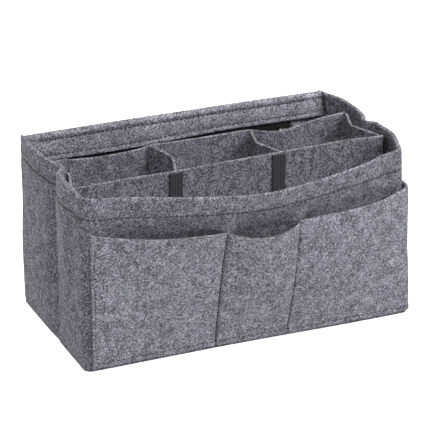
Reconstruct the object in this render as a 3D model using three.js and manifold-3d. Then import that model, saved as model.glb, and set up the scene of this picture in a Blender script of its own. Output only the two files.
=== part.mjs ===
// A felt organizer insert for a purse: an open felt box with three pockets on its front, a zipped
// pocket inside its back wall and a divider that lifts out and folds flat.
// Millimetres, +Z up, +X to the right seen from the front, the front faces -Y.
// The origin is the middle of the base, on the surface that the insert stands on.

import * as THREE from 'three';
import Module from 'manifold-3d';
import { mergeVertices } from 'three/addons/utils/BufferGeometryUtils.js';

const wasm = await Module();
wasm.setup();

// Body
const BODY_WIDTH = 260;
const BODY_DEPTH = 134;
const BODY_HEIGHT = 134;
const FELT = 2.2; // one layer of felt
const SEAM_GAP = 0.3; // left between two pieces that are sewn or laid together
const HEM_DEPTH = 20; // the rim is folded to the inside by this much
const HEM_TAIL = 0.2; // the folded layer is pared down to this at the two back corners
const CORNER_RADIUS = 10; // front corners at the base

// Shape that the soft walls have taken: all of it grows from nothing at the base to the rim
const FRONT_BULGE = 29;
const BULGE_GROWTH = 1.3; // power of the height
const BULGE_SKEW = 0.75; // under 1 puts the fullest place left of the middle
const BULGE_ROUND = 1.3; // over 1 flattens the bulge towards the corners
const LEFT_CORNER_DRAW = 3.5; // front corners lean in by this at the rim
const RIGHT_CORNER_DRAW = 9;
const CORNER_DRAW_FROM = -12; // the lean starts here on the side walls
const PLEAT_DEPTH = 4.5; // a fold in each side wall, pressed inwards
const LEFT_PLEAT_Y = -9;
const RIGHT_PLEAT_Y = -4;
const PLEAT_BACK_REACH = 46;
const PLEAT_FRONT_REACH = 8;
const PLEAT_BACK_ROUND = 1.8;

// Front pockets: one sheet sewn along its left, lower and right edges and down two lines
const POCKET_DROP = 33; // mouth below the rim
const POCKET_FOOT = 1.5; // lower edge above the base
const POCKET_LEFT_INSET = 5; // left edge, from the left side of the body
const POCKET_WRAP = 9; // the right edge goes this far round the right corner
const POCKET_SEAM_LEFT_X = -28;
const POCKET_SEAM_RIGHT_X = 26;
const LEFT_POCKET_OPEN = 9;
const MIDDLE_POCKET_OPEN = 12;
const RIGHT_POCKET_OPEN = 9;
const POCKET_EDGE_STAND = 3.5; // the right edge stands off the body by this at the mouth
const POCKET_OPEN_GROWTH = 1.6;
const LEFT_MOUTH_RISE = 4; // the mouth climbs to the left corner
const MIDDLE_MOUTH_SAG = 4.5;

// Zip in the back wall
const ZIP_END_ROOM = 36; // from each end of the slot that shows the zip to the side of the body
const ZIP_SLOT = 10; // height of that slot, under the hem
const ZIP_LAYER = 2.2; // space between the back wall and the layer in front of it
const ZIP_TAPE = 0.6;
const ZIP_TAPE_TUCK = 8; // tape hidden behind the felt, above, below and at both ends
const ZIP_SLIT_EXTRA = 4; // the fold of the hem is open this much higher than the tape
const TEETH_PITCH = 2.6;
const TOOTH_WIDTH = 1.3;
const TEETH_THICKNESS = 1.6;
const TEETH_ROW = 2; // height of one row
const TEETH_SPINE = 1.2; // height of the row's unbroken part
const ROW_SPACE = 1.1; // between the two rows
const STOP_LENGTH = 2.4;

// Slider and pull
const SLIDER_LENGTH = 9;
const SLIDER_PLATE = 1.2;
const SLIDER_BACK_PLATE = 0.7;
const SLIDER_LIP = 0.8;
const SLIDER_WEB = 0.5;
const SLIDER_NOSE = 0.62; // height of the narrow end as a share of the wide end
const BRIDGE_LEG_X = 3; // the two legs stand this far from the slider's middle
const BRIDGE_LEG = 1.4;
const BRIDGE_WIDTH = 1.8;
const BRIDGE_BAR = 1.2;
const PULL_LENGTH = 20;
const PULL_WIDTH = 6;
const PULL_THICKNESS = 1.2;
const PULL_EYE_RADIUS = 1.5;
const PULL_EYE_RIM = 1.1;

// Divider
const DIVIDER_SIDE_ROOM = 10; // from each end to the side of the body, which also clears the pleats
const DIVIDER_FRONT_ROOM = 40.5; // from its front panel to the front of the body
const DIVIDER_BACK_ROOM = 38.5; // from its back panel to the back of the body
const DIVIDER_DROP = 9; // its top is this far below the rim
const END_WALL_INSET = 1.5; // from the ends of its panels to the middle of its end walls
const MIDDLE_BAY = 83; // between its two cross walls
const WALL_BOW = 7; // each wall is creased in the middle and stands this far out of line
const LEFT_BAY_BOW = 4.6; // the back panel swells forwards behind the two side bays
const RIGHT_BAY_BOW = 9.2;
const BAY_BOW_ROOT = 2; // the swelling starts and ends this far from the middle of a wall
const BAY_BOW_RISE = 13.5; // from there to the fullest place, on the cross wall's side

// Hook-and-loop strips
const STRIP_WIDTH = 10.5;
const STRIP_THICKNESS = 1.5;
const END_STRIP_THICKNESS = 2;
const SIDE_STRIP_BEHIND = 0.5; // middle of the side walls' strips, behind the divider's front
const END_STRIP_FOOT = 30;
const END_STRIP_TOP_GAP = 1; // below the divider's top
const FRONT_STRIP_FOOT = 40;
const STRIP_HEM_GAP = 1; // loop strips end this far under the hem

// Worked out from the sizes above
const HALF_WIDTH = BODY_WIDTH / 2;
const HALF_DEPTH = BODY_DEPTH / 2;
const HEM_EDGE = BODY_HEIGHT - HEM_DEPTH;
const POCKET_HEIGHT = BODY_HEIGHT - POCKET_DROP;
const POCKET_LEFT_X = -HALF_WIDTH + POCKET_LEFT_INSET;
const ZIP_HALF_LENGTH = HALF_WIDTH - ZIP_END_ROOM;
const FLOOR_TOP = FELT + SEAM_GAP;
const BACK_INNER_Y = HALF_DEPTH - FELT; // inner face of the back wall's outer layer
const LAYER_BACK_Y = BACK_INNER_Y - ZIP_LAYER; // back of the hem's inner layer and of the lining
const LAYER_FRONT_Y = LAYER_BACK_Y - FELT;
const BACK_HALF_WIDTH = HALF_WIDTH - FELT - HEM_TAIL - SEAM_GAP;
const ZIP_Z = HEM_EDGE - ZIP_SLOT / 2;

// Materials

function felt(colour) {
  return new THREE.MeshStandardMaterial({ color: colour, roughness: 0.95, metalness: 0 });
}

const FELT_COLOUR = 0x84838b;
const LINING_COLOUR = 0x74737c;
const TAPE_COLOUR = 0x1c1c1d;
const STRIP_COLOUR = 0x2e2f30;

function tape() {
  return new THREE.MeshStandardMaterial({ color: TAPE_COLOUR, roughness: 0.85, metalness: 0 });
}

function strip() {
  return new THREE.MeshStandardMaterial({ color: STRIP_COLOUR, roughness: 0.9, metalness: 0 });
}

function nickel() {
  return new THREE.MeshStandardMaterial({ color: 0xb9bbbd, roughness: 0.3, metalness: 1 });
}

// Solids

// Turns the triangles round where they face inwards.
function facingOut(positions, triangles) {
  const corner = (index) => new THREE.Vector3().fromArray(positions, index * 3);
  let volume = 0;
  for (let i = 0; i < triangles.length; i += 3) {
    const [a, b, c] = [triangles[i], triangles[i + 1], triangles[i + 2]].map(corner);
    volume += a.dot(b.cross(c));
  }
  if (volume < 0) triangles.reverse();
  const geometry = new THREE.BufferGeometry();
  geometry.setAttribute('position', new THREE.Float32BufferAttribute(positions, 3));
  geometry.setIndex(triangles);
  geometry.computeVertexNormals();
  return geometry;
}

// A solid through rows of points. Every row is a closed loop of equally many points, and the outline
// is the first row laid flat, which closes both ends.
function loft(rows, outline) {
  const count = rows[0].length;
  const positions = rows.flat().flatMap((point) => [point.x, point.y, point.z]);
  const triangles = [];
  for (let row = 0; row + 1 < rows.length; row += 1) {
    for (let i = 0; i < count; i += 1) {
      const a = row * count + i;
      const b = row * count + ((i + 1) % count);
      triangles.push(a, b, b + count, a, b + count, a + count);
    }
  }
  const last = (rows.length - 1) * count;
  const turn = THREE.ShapeUtils.area(outline);
  for (const [a, b, c] of THREE.ShapeUtils.triangulateShape(outline, [])) {
    const sameTurn = turn * THREE.ShapeUtils.area([outline[a], outline[b], outline[c]]) > 0;
    const [p, q] = sameTurn ? [a, b] : [b, a];
    triangles.push(q, p, c, last + p, last + q, last + c);
  }
  return facingOut(positions, triangles);
}

function outlineShape(points) {
  return new THREE.Shape(points.map(([a, b]) => new THREE.Vector2(a, b)));
}

function extruded(shape, depth, curveSegments = 6) {
  return new THREE.ExtrudeGeometry(shape, { depth, bevelEnabled: false, curveSegments });
}

// An upright plate: a shape in X and Z, from its back face at y towards the front.
function uprightPlate(shape, backY, thickness) {
  return extruded(shape, thickness).rotateX(Math.PI / 2).translate(0, backY, 0);
}

// A bar along X: a shape in Y and Z, from one end to the other.
function barAlongX(shape, fromX, toX) {
  return extruded(shape, toX - fromX).rotateY(Math.PI / 2).rotateX(Math.PI / 2).translate(fromX, 0, 0);
}

// A standing wall: a shape in plan, from its foot to its top.
function standing(shape, foot, top) {
  return extruded(shape, top - foot).translate(0, 0, foot);
}

function rectangle(fromA, toA, fromB, toB) {
  return outlineShape([[fromA, fromB], [toA, fromB], [toA, toB], [fromA, toB]]);
}

function toManifold(geometry) {
  const bare = geometry.clone();
  bare.deleteAttribute('normal');
  bare.deleteAttribute('uv');
  const merged = mergeVertices(bare, 1e-4);
  const vertProperties = new Float32Array(merged.attributes.position.array);
  const triVerts = new Uint32Array(merged.index.array);
  return new wasm.Manifold(new wasm.Mesh({ numProp: 3, vertProperties, triVerts }));
}

function fromManifold(solid) {
  const mesh = solid.getMesh();
  return facingOut(Array.from(mesh.vertProperties), Array.from(mesh.triVerts));
}

// Body walls: one run round the left side, the front and the right side

const SIDE_RUN = BODY_DEPTH - CORNER_RADIUS;
const CORNER_RUN = (Math.PI / 2) * CORNER_RADIUS;
const FRONT_RUN = BODY_WIDTH - 2 * CORNER_RADIUS;
const WALL_RUN = 2 * SIDE_RUN + 2 * CORNER_RUN + FRONT_RUN;

function runAtLeft(y) {
  return HALF_DEPTH - y;
}

function runAtRight(y) {
  return WALL_RUN - runAtLeft(y);
}

function runAtFront(x) {
  return SIDE_RUN + CORNER_RUN + x + FRONT_RUN / 2;
}

// The outer face at the base, at a distance along the run.
function baseOutline(run) {
  const mirrored = run > WALL_RUN / 2;
  const s = mirrored ? WALL_RUN - run : run;
  let x = -HALF_WIDTH;
  let y = HALF_DEPTH - s;
  if (s > SIDE_RUN + CORNER_RUN) {
    x = s - SIDE_RUN - CORNER_RUN - FRONT_RUN / 2;
    y = -HALF_DEPTH;
  } else if (s > SIDE_RUN) {
    const turn = (s - SIDE_RUN) / CORNER_RADIUS;
    x = -HALF_WIDTH + CORNER_RADIUS * (1 - Math.cos(turn));
    y = -HALF_DEPTH + CORNER_RADIUS * (1 - Math.sin(turn));
  }
  return { x: mirrored ? -x : x, y };
}

function pleat(y, pleatY) {
  const back = (y - pleatY) / PLEAT_BACK_REACH;
  const front = (pleatY - y) / PLEAT_FRONT_REACH;
  if (back >= 1 || front >= 1) return 0;
  if (back >= 0) return (1 - back) ** PLEAT_BACK_ROUND;
  return 0.5 * (1 + Math.cos(Math.PI * front));
}

function bulge(x) {
  const across = THREE.MathUtils.clamp((x + HALF_WIDTH) / BODY_WIDTH, 0, 1);
  return FRONT_BULGE * Math.sin(Math.PI * across ** BULGE_SKEW) ** BULGE_ROUND;
}

// The outer face at a distance along the run and a height along the felt.
function wallFace(run, height) {
  const { x, y } = baseOutline(run);
  const share = height / BODY_HEIGHT;
  const left = x < 0;
  const towardsFront = THREE.MathUtils.smoothstep(-y, -CORNER_DRAW_FROM, HALF_DEPTH);
  const towardsCorner = Math.abs(x / HALF_WIDTH) ** 4;
  const draw = (left ? LEFT_CORNER_DRAW : RIGHT_CORNER_DRAW) * towardsFront * towardsCorner;
  const fold = PLEAT_DEPTH * pleat(y, left ? LEFT_PLEAT_Y : RIGHT_PLEAT_Y);
  const inwards = (draw + fold) * share;
  const onFront = THREE.MathUtils.smoothstep(-y, HALF_DEPTH - CORNER_RADIUS, HALF_DEPTH);
  const forwards = onFront * bulge(x) * share ** BULGE_GROWTH;
  const drop = forwards ** 2 / (2 * BODY_HEIGHT);
  return new THREE.Vector3(x + (left ? inwards : -inwards), y - forwards, height - drop);
}

const FACE_STEP = 0.5; // for the direction of the wall

// A point at a depth behind the outer face, or in front of it where the depth is negative.
function wallPoint(run, height, depth) {
  const before = wallFace(Math.max(run - FACE_STEP, 0), height);
  const after = wallFace(Math.min(run + FACE_STEP, WALL_RUN), height);
  const along = after.sub(before).setZ(0).normalize();
  return wallFace(run, height).add(new THREE.Vector3(-along.y, along.x, 0).multiplyScalar(depth));
}

function spread(from, to, steps) {
  return Array.from({ length: steps + 1 }, (_, i) => from + ((to - from) * i) / steps);
}

const SIDE_STEPS = 46;
const CORNER_STEPS = 6;
const FRONT_STEPS = 30;
const POCKET_LEVELS = 7;
const RIM_STEPS = 6;
const HEM_END_Y = LAYER_FRONT_Y - SEAM_GAP; // the hem stops in front of the back wall's own
const HEM_END_STEP = 0.4;

function wallRuns() {
  const side = spread(HEM_END_Y - HEM_END_STEP, -HALF_DEPTH + CORNER_RADIUS, SIDE_STEPS);
  const left = [HALF_DEPTH, HEM_END_Y, ...side].map(runAtLeft);
  const leftCorner = spread(SIDE_RUN, SIDE_RUN + CORNER_RUN, CORNER_STEPS).slice(1);
  const frontEnd = SIDE_RUN + CORNER_RUN + FRONT_RUN;
  const front = spread(SIDE_RUN + CORNER_RUN, frontEnd, FRONT_STEPS).slice(1);
  const half = [...left, ...leftCorner];
  const right = half.map((run) => WALL_RUN - run).reverse().slice(1);
  return [...half, ...front, ...right];
}

const POCKET_ZONE = spread(0, POCKET_HEIGHT, POCKET_LEVELS);
const HEM_ZONE = [HEM_EDGE, HEM_EDGE + HEM_DEPTH / 2];

function wallProfile(hem) {
  const radius = (FELT + hem) / 2;
  const outer = [...POCKET_ZONE, ...HEM_ZONE].map((height) => [0, height]);
  const rim = spread(0, Math.PI, RIM_STEPS).map((turn) => [
    radius * (1 - Math.cos(turn)),
    BODY_HEIGHT - radius * (1 - Math.sin(turn)),
  ]);
  const fold = [[FELT + hem, HEM_EDGE], [FELT, HEM_EDGE]];
  const inner = POCKET_ZONE.map((height) => [FELT, height]).reverse();
  return [...outer, ...rim, ...fold, ...inner];
}

function frontWrap() {
  const hemEnd = runAtLeft(HEM_END_Y);
  const rows = wallRuns().map((run) => {
    const pared = run <= hemEnd || run >= WALL_RUN - hemEnd;
    return wallProfile(pared ? HEM_TAIL : FELT).map(([depth, height]) => wallPoint(run, height, depth));
  });
  return loft(rows, wallProfile(HEM_TAIL).map(([depth, height]) => new THREE.Vector2(depth, height)));
}

// The back wall with its hem folded to the inside. The fold stays open below for the zip's tape.
function backPanel() {
  const radius = (HALF_DEPTH - LAYER_FRONT_Y) / 2;
  const shape = new THREE.Shape();
  shape.moveTo(HALF_DEPTH, 0);
  shape.lineTo(HALF_DEPTH, BODY_HEIGHT - radius);
  shape.absarc(HALF_DEPTH - radius, BODY_HEIGHT - radius, radius, 0, Math.PI, false);
  shape.lineTo(LAYER_FRONT_Y, HEM_EDGE);
  shape.lineTo(LAYER_BACK_Y, HEM_EDGE);
  shape.lineTo(LAYER_BACK_Y, HEM_EDGE + ZIP_TAPE_TUCK + ZIP_SLIT_EXTRA);
  shape.lineTo(BACK_INNER_Y, HEM_EDGE + ZIP_TAPE_TUCK + ZIP_SLIT_EXTRA);
  shape.lineTo(BACK_INNER_Y, 0);
  return barAlongX(shape, -BACK_HALF_WIDTH, BACK_HALF_WIDTH);
}

function basePanel() {
  const halfWidth = HALF_WIDTH - FELT - SEAM_GAP;
  const halfDepth = HALF_DEPTH - FELT - SEAM_GAP;
  const radius = Math.max(CORNER_RADIUS - FELT - SEAM_GAP, 1);
  const shape = new THREE.Shape();
  shape.moveTo(-halfWidth, halfDepth);
  shape.lineTo(-halfWidth, -halfDepth + radius);
  shape.absarc(-halfWidth + radius, -halfDepth + radius, radius, Math.PI, 1.5 * Math.PI, false);
  shape.absarc(halfWidth - radius, -halfDepth + radius, radius, 1.5 * Math.PI, 2 * Math.PI, false);
  shape.lineTo(halfWidth, halfDepth);
  return standing(shape, 0, FELT);
}

// Front pockets

const POCKET_END_RUN = SIDE_RUN + CORNER_RUN + FRONT_RUN + POCKET_WRAP;

// Each pocket from seam to seam, how far its mouth stands open and how it is shaped.
const POCKETS = [
  { from: runAtFront(POCKET_LEFT_X), to: runAtFront(POCKET_SEAM_LEFT_X), open: LEFT_POCKET_OPEN },
  { from: runAtFront(POCKET_SEAM_LEFT_X), to: runAtFront(POCKET_SEAM_RIGHT_X), open: MIDDLE_POCKET_OPEN },
  { from: runAtFront(POCKET_SEAM_RIGHT_X), to: POCKET_END_RUN, open: RIGHT_POCKET_OPEN },
];
const [LEFT_POCKET, MIDDLE_POCKET, RIGHT_POCKET] = POCKETS;

function pocketShare(pocket, run) {
  return THREE.MathUtils.clamp((run - pocket.from) / (pocket.to - pocket.from), 0, 1);
}

function pocketOpen(run) {
  const pocket = POCKETS.find(({ to }) => run <= to + FACE_STEP);
  const share = pocketShare(pocket, run);
  const stand = pocket === RIGHT_POCKET ? POCKET_EDGE_STAND * share ** 2 : 0;
  return pocket.open * Math.sin(Math.PI * share) + stand;
}

function pocketMouth(run) {
  const rise = LEFT_MOUTH_RISE * (1 - pocketShare(LEFT_POCKET, run)) ** 2;
  const sag = MIDDLE_MOUTH_SAG * Math.sin(Math.PI * pocketShare(MIDDLE_POCKET, run));
  return POCKET_HEIGHT + rise - sag;
}

// The panel's two faces up one line: its back face as a distance in front of the body, and its front.
function pocketProfile(run) {
  const heights = spread(POCKET_FOOT, pocketMouth(run), POCKET_LEVELS);
  const back = heights.map((height) => {
    const share = (height - POCKET_FOOT) / (pocketMouth(run) - POCKET_FOOT);
    return [-SEAM_GAP - pocketOpen(run) * share ** POCKET_OPEN_GROWTH, height];
  });
  const front = back.map(([depth, height]) => [depth - FELT, height]).reverse();
  return [...back, ...front];
}

function frontPocketPanel() {
  const seams = POCKETS.flatMap(({ from, to }) => [from, to]);
  const between = wallRuns().filter((run) => run > LEFT_POCKET.from && run < RIGHT_POCKET.to);
  const runs = [...new Set([...between, ...seams])].sort((a, b) => a - b);
  const rows = runs.map((run) => {
    return pocketProfile(run).map(([depth, height]) => wallPoint(run, height, depth));
  });
  return loft(rows, pocketProfile(runs[0]).map(([depth, height]) => new THREE.Vector2(depth, height)));
}

// A strip that lies on the inner face of the body's walls, under the hem.
function wallStrip(middleRun, foot, thickness) {
  const depth = FELT + SEAM_GAP;
  const heights = spread(foot, HEM_EDGE - STRIP_HEM_GAP, POCKET_LEVELS);
  const profile = [
    ...heights.map((height) => [depth, height]),
    ...heights.map((height) => [depth + thickness, height]).reverse(),
  ];
  const runs = spread(middleRun - STRIP_WIDTH / 2, middleRun + STRIP_WIDTH / 2, 3);
  const rows = runs.map((run) => profile.map(([d, height]) => wallPoint(run, height, d)));
  return loft(rows, profile.map(([d, height]) => new THREE.Vector2(d, height)));
}

// Zip

// The lining in front of the back wall, cut out for the zip.
function zipPocketLining() {
  const halfWidth = BACK_HALF_WIDTH;
  const top = HEM_EDGE - SEAM_GAP;
  const slot = ZIP_HALF_LENGTH;
  return uprightPlate(outlineShape([
    [-halfWidth, FLOOR_TOP], [halfWidth, FLOOR_TOP], [halfWidth, top], [slot, top],
    [slot, HEM_EDGE - ZIP_SLOT], [-slot, HEM_EDGE - ZIP_SLOT], [-slot, top], [-halfWidth, top],
  ]), LAYER_BACK_Y, FELT);
}

const TAPE_FRONT_Y = LAYER_BACK_Y + SEAM_GAP;
const TAPE_BACK_Y = TAPE_FRONT_Y + ZIP_TAPE;

// Upper and lower halves mirror each other about the middle of the zip.
function zipTape(upper) {
  const edge = ROW_SPACE / 2;
  const far = ZIP_SLOT / 2 + ZIP_TAPE_TUCK;
  const reach = ZIP_HALF_LENGTH + ZIP_TAPE_TUCK;
  const shape = upper
    ? rectangle(-ZIP_HALF_LENGTH, ZIP_HALF_LENGTH, ZIP_Z + edge, ZIP_Z + far)
    : rectangle(-reach, reach, ZIP_Z - far, ZIP_Z - edge);
  return uprightPlate(shape, TAPE_BACK_Y, ZIP_TAPE);
}

const TEETH_BACK_Y = TAPE_FRONT_Y - SEAM_GAP;
const TEETH_HALF_LENGTH = ZIP_HALF_LENGTH - STOP_LENGTH - 2 * SEAM_GAP;

// A row of teeth as a comb. The lower row is set half a pitch along.
function zipTeeth(upper) {
  const sign = upper ? 1 : -1;
  const tip = ZIP_Z + (sign * ROW_SPACE) / 2;
  const root = tip + sign * (TEETH_ROW - TEETH_SPINE);
  const back = tip + sign * TEETH_ROW;
  const shift = upper ? 0 : TEETH_PITCH / 2;
  const count = Math.floor((2 * TEETH_HALF_LENGTH - shift) / TEETH_PITCH);
  const points = [[-TEETH_HALF_LENGTH, back], [-TEETH_HALF_LENGTH, root]];
  for (let i = 0; i < count; i += 1) {
    const start = -TEETH_HALF_LENGTH + shift + (i + 0.5) * TEETH_PITCH - TOOTH_WIDTH / 2;
    points.push([start, root], [start, tip], [start + TOOTH_WIDTH, tip], [start + TOOTH_WIDTH, root]);
  }
  points.push([TEETH_HALF_LENGTH, root], [TEETH_HALF_LENGTH, back]);
  return uprightPlate(outlineShape(points), TEETH_BACK_Y, TEETH_THICKNESS);
}

// A stop closes the end of one row, or of both rows at the end where the zip never parts.
function zipStop(endX, fromZ, toZ) {
  const inner = endX - Math.sign(endX) * STOP_LENGTH;
  const shape = rectangle(Math.min(inner, endX), Math.max(inner, endX), fromZ, toZ);
  return uprightPlate(shape, TEETH_BACK_Y, TEETH_THICKNESS);
}

const ROWS_HALF_HEIGHT = ROW_SPACE / 2 + TEETH_ROW;
const STOP_END_X = ZIP_HALF_LENGTH - SEAM_GAP;
const SLIDER_X = STOP_END_X - STOP_LENGTH - SEAM_GAP - SLIDER_LENGTH / 2; // closed, at the right
const PLATE_BACK_Y = TEETH_BACK_Y - TEETH_THICKNESS - SEAM_GAP;
const PLATE_FRONT_Y = PLATE_BACK_Y - SLIDER_PLATE;
const PULL_BACK_Y = PLATE_FRONT_Y - SEAM_GAP;
const BAR_BACK_Y = PULL_BACK_Y - PULL_THICKNESS - SEAM_GAP;

// The slider: a front plate whose lips reach round both rows, a web between the rows, a back plate
// behind the tapes and a bridge for the pull. Its outline narrows towards the closed chain.
function zipSlider() {
  const half = ROWS_HALF_HEIGHT + SEAM_GAP + SLIDER_LIP;
  const lip = half - SLIDER_LIP;
  const lipEnd = TAPE_FRONT_Y - SEAM_GAP;
  const web = SLIDER_WEB / 2;
  const backFrom = TAPE_BACK_Y + SEAM_GAP;
  const backTo = backFrom + SLIDER_BACK_PLATE;
  const section = [
    [PLATE_FRONT_Y, -half], [lipEnd, -half], [lipEnd, -lip], [PLATE_BACK_Y, -lip], [PLATE_BACK_Y, -web],
    [backFrom, -web], [backFrom, -lip], [backTo, -lip], [backTo, lip], [backFrom, lip], [backFrom, web],
    [PLATE_BACK_Y, web], [PLATE_BACK_Y, lip], [lipEnd, lip], [lipEnd, half], [PLATE_FRONT_Y, half],
  ];
  const body = barAlongX(
    outlineShape(section.map(([y, z]) => [y, ZIP_Z + z])),
    SLIDER_X - SLIDER_LENGTH / 2,
    SLIDER_X + SLIDER_LENGTH / 2,
  );
  const nose = half * SLIDER_NOSE;
  const start = SLIDER_X - SLIDER_LENGTH / 2;
  const end = SLIDER_X + SLIDER_LENGTH / 2;
  const outline = outlineShape([
    [start, ZIP_Z - half], [SLIDER_X, ZIP_Z - half], [end, ZIP_Z - nose],
    [end, ZIP_Z + nose], [SLIDER_X, ZIP_Z + half], [start, ZIP_Z + half],
  ]);
  const shield = uprightPlate(outline, BACK_INNER_Y, BACK_INNER_Y - PLATE_FRONT_Y);
  const foot = PLATE_FRONT_Y + SLIDER_PLATE / 2; // the legs are rooted in the plate
  const legOut = BRIDGE_LEG_X + BRIDGE_LEG / 2;
  const legIn = BRIDGE_LEG_X - BRIDGE_LEG / 2;
  const top = BAR_BACK_Y - BRIDGE_BAR;
  const arch = outlineShape([
    [-legOut, foot], [-legIn, foot], [-legIn, BAR_BACK_Y], [legIn, BAR_BACK_Y], [legIn, foot],
    [legOut, foot], [legOut, top], [-legOut, top],
  ]);
  const bridge = standing(arch, ZIP_Z - BRIDGE_WIDTH / 2, ZIP_Z + BRIDGE_WIDTH / 2).translate(SLIDER_X, 0, 0);
  return fromManifold(toManifold(body).intersect(toManifold(shield)).add(toManifold(bridge)));
}

// The pull hangs from the bridge's left leg by a round eye.
function zipPull() {
  const eyeX = SLIDER_X - BRIDGE_LEG_X;
  const neck = PULL_EYE_RADIUS + PULL_EYE_RIM;
  const half = PULL_WIDTH / 2;
  const foot = ZIP_Z - PULL_LENGTH;
  const shape = new THREE.Shape();
  shape.absarc(eyeX, ZIP_Z, neck, 0, Math.PI, false);
  shape.lineTo(eyeX - neck, ZIP_Z - neck);
  shape.lineTo(eyeX - half, foot + half);
  shape.absarc(eyeX, foot + half, half, Math.PI, 2 * Math.PI, false);
  shape.lineTo(eyeX + neck, ZIP_Z - neck);
  const eye = new THREE.Path();
  eye.absarc(eyeX, ZIP_Z, PULL_EYE_RADIUS, 0, 2 * Math.PI, true);
  shape.holes.push(eye);
  return extruded(shape, PULL_THICKNESS, 10).rotateX(Math.PI / 2).translate(0, PULL_BACK_Y, 0);
}

// Divider

const DIVIDER_FRONT_Y = -HALF_DEPTH + DIVIDER_FRONT_ROOM;
const DIVIDER_BACK_Y = HALF_DEPTH - DIVIDER_BACK_ROOM;
const DIVIDER_Y = (DIVIDER_FRONT_Y + DIVIDER_BACK_Y) / 2; // its middle
const DIVIDER_TOP = BODY_HEIGHT - DIVIDER_DROP;
const DIVIDER_HALF_WIDTH = HALF_WIDTH - DIVIDER_SIDE_ROOM;
const END_WALL_X = DIVIDER_HALF_WIDTH - END_WALL_INSET;
const CROSS_WALL_X = MIDDLE_BAY / 2;
const WALL_HALF = FELT / 2;
const HINGE_BACK_Y = DIVIDER_BACK_Y - FELT - SEAM_GAP - WALL_HALF;
const HINGE_FRONT_Y = DIVIDER_FRONT_Y + FELT + SEAM_GAP + WALL_HALF;

function dividerFrontPanel() {
  const half = DIVIDER_HALF_WIDTH;
  return uprightPlate(rectangle(-half, half, FLOOR_TOP, DIVIDER_TOP), DIVIDER_FRONT_Y + FELT, FELT);
}

const PANEL_STEPS = 96;

function bayBow(x) {
  const { smoothstep } = THREE.MathUtils;
  const across = Math.abs(x);
  const root = CROSS_WALL_X + BAY_BOW_ROOT;
  const fullest = root + BAY_BOW_RISE;
  const rise = smoothstep(across, root, fullest);
  const fall = smoothstep(across, fullest, END_WALL_X - BAY_BOW_ROOT);
  return (x < 0 ? LEFT_BAY_BOW : RIGHT_BAY_BOW) * rise * (1 - fall);
}

function dividerBackPanel() {
  const middle = (x) => new THREE.Vector2(x, DIVIDER_BACK_Y - WALL_HALF - bayBow(x));
  const stations = spread(-DIVIDER_HALF_WIDTH, DIVIDER_HALF_WIDTH, PANEL_STEPS);
  const face = (side) => stations.map((x) => {
    const along = middle(x + FACE_STEP).sub(middle(x - FACE_STEP)).normalize();
    return middle(x).add(new THREE.Vector2(-along.y, along.x).multiplyScalar(side * WALL_HALF));
  });
  return standing(new THREE.Shape([...face(-1), ...face(1).reverse()]), FLOOR_TOP, DIVIDER_TOP);
}

// Half of a creased wall: round where it turns on its panel, cut square across at the crease.
// The crease points to the middle of the divider.
function halfWallLine(wallX, rear) {
  const hinge = new THREE.Vector2(wallX, rear ? HINGE_BACK_Y : HINGE_FRONT_Y);
  const crease = new THREE.Vector2(wallX - Math.sign(wallX) * WALL_BOW, DIVIDER_Y);
  const along = crease.clone().sub(hinge).normalize();
  return { hinge, along, across: new THREE.Vector2(-along.y, along.x) };
}

function dividerHalfWall(wallX, rear) {
  const { hinge, along, across } = halfWallLine(wallX, rear);
  const cutY = DIVIDER_Y + (rear ? SEAM_GAP : -SEAM_GAP) / 2;
  const atCut = (side) => {
    const start = hinge.clone().addScaledVector(across, side * WALL_HALF);
    return start.addScaledVector(along, (cutY - start.y) / along.y);
  };
  const shape = new THREE.Shape();
  const [first, second] = [atCut(-1), atCut(1)];
  shape.moveTo(first.x, first.y);
  shape.lineTo(second.x, second.y);
  const turn = Math.atan2(across.y, across.x);
  shape.absarc(hinge.x, hinge.y, WALL_HALF, turn, turn + Math.PI, false);
  return standing(shape, FLOOR_TOP, DIVIDER_TOP);
}

// A hook strip on the outer face of an end wall's front half, close to the front panel.
function dividerEndStrip(wallX) {
  const { hinge, along, across } = halfWallLine(wallX, false);
  const outwards = across.clone().multiplyScalar(Math.sign(across.x) * Math.sign(wallX));
  const near = WALL_HALF + SEAM_GAP;
  const corner = (distance, depth) => {
    return hinge.clone().addScaledVector(along, distance).addScaledVector(outwards, depth);
  };
  const shape = new THREE.Shape([
    corner(0, near),
    corner(STRIP_WIDTH, near),
    corner(STRIP_WIDTH, near + END_STRIP_THICKNESS),
    corner(0, near + END_STRIP_THICKNESS),
  ]);
  return standing(shape, END_STRIP_FOOT, DIVIDER_TOP - END_STRIP_TOP_GAP);
}

// A hook strip down the front panel's outer face, over the line of a cross wall.
function dividerFrontStrip(x) {
  const half = STRIP_WIDTH / 2;
  const shape = rectangle(x - half, x + half, FLOOR_TOP, DIVIDER_TOP - END_STRIP_TOP_GAP);
  return uprightPlate(shape, DIVIDER_FRONT_Y - SEAM_GAP, STRIP_THICKNESS);
}

// Assembly

const insert = new THREE.Group();

function place(name, geometry, material) {
  const mesh = new THREE.Mesh(geometry, material);
  mesh.name = name;
  insert.add(mesh);
}

place('back_panel', backPanel(), felt(FELT_COLOUR));
place('front_wrap', frontWrap(), felt(FELT_COLOUR));
place('base_panel', basePanel(), felt(FELT_COLOUR));
place('front_pocket_panel', frontPocketPanel(), felt(FELT_COLOUR));

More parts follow.
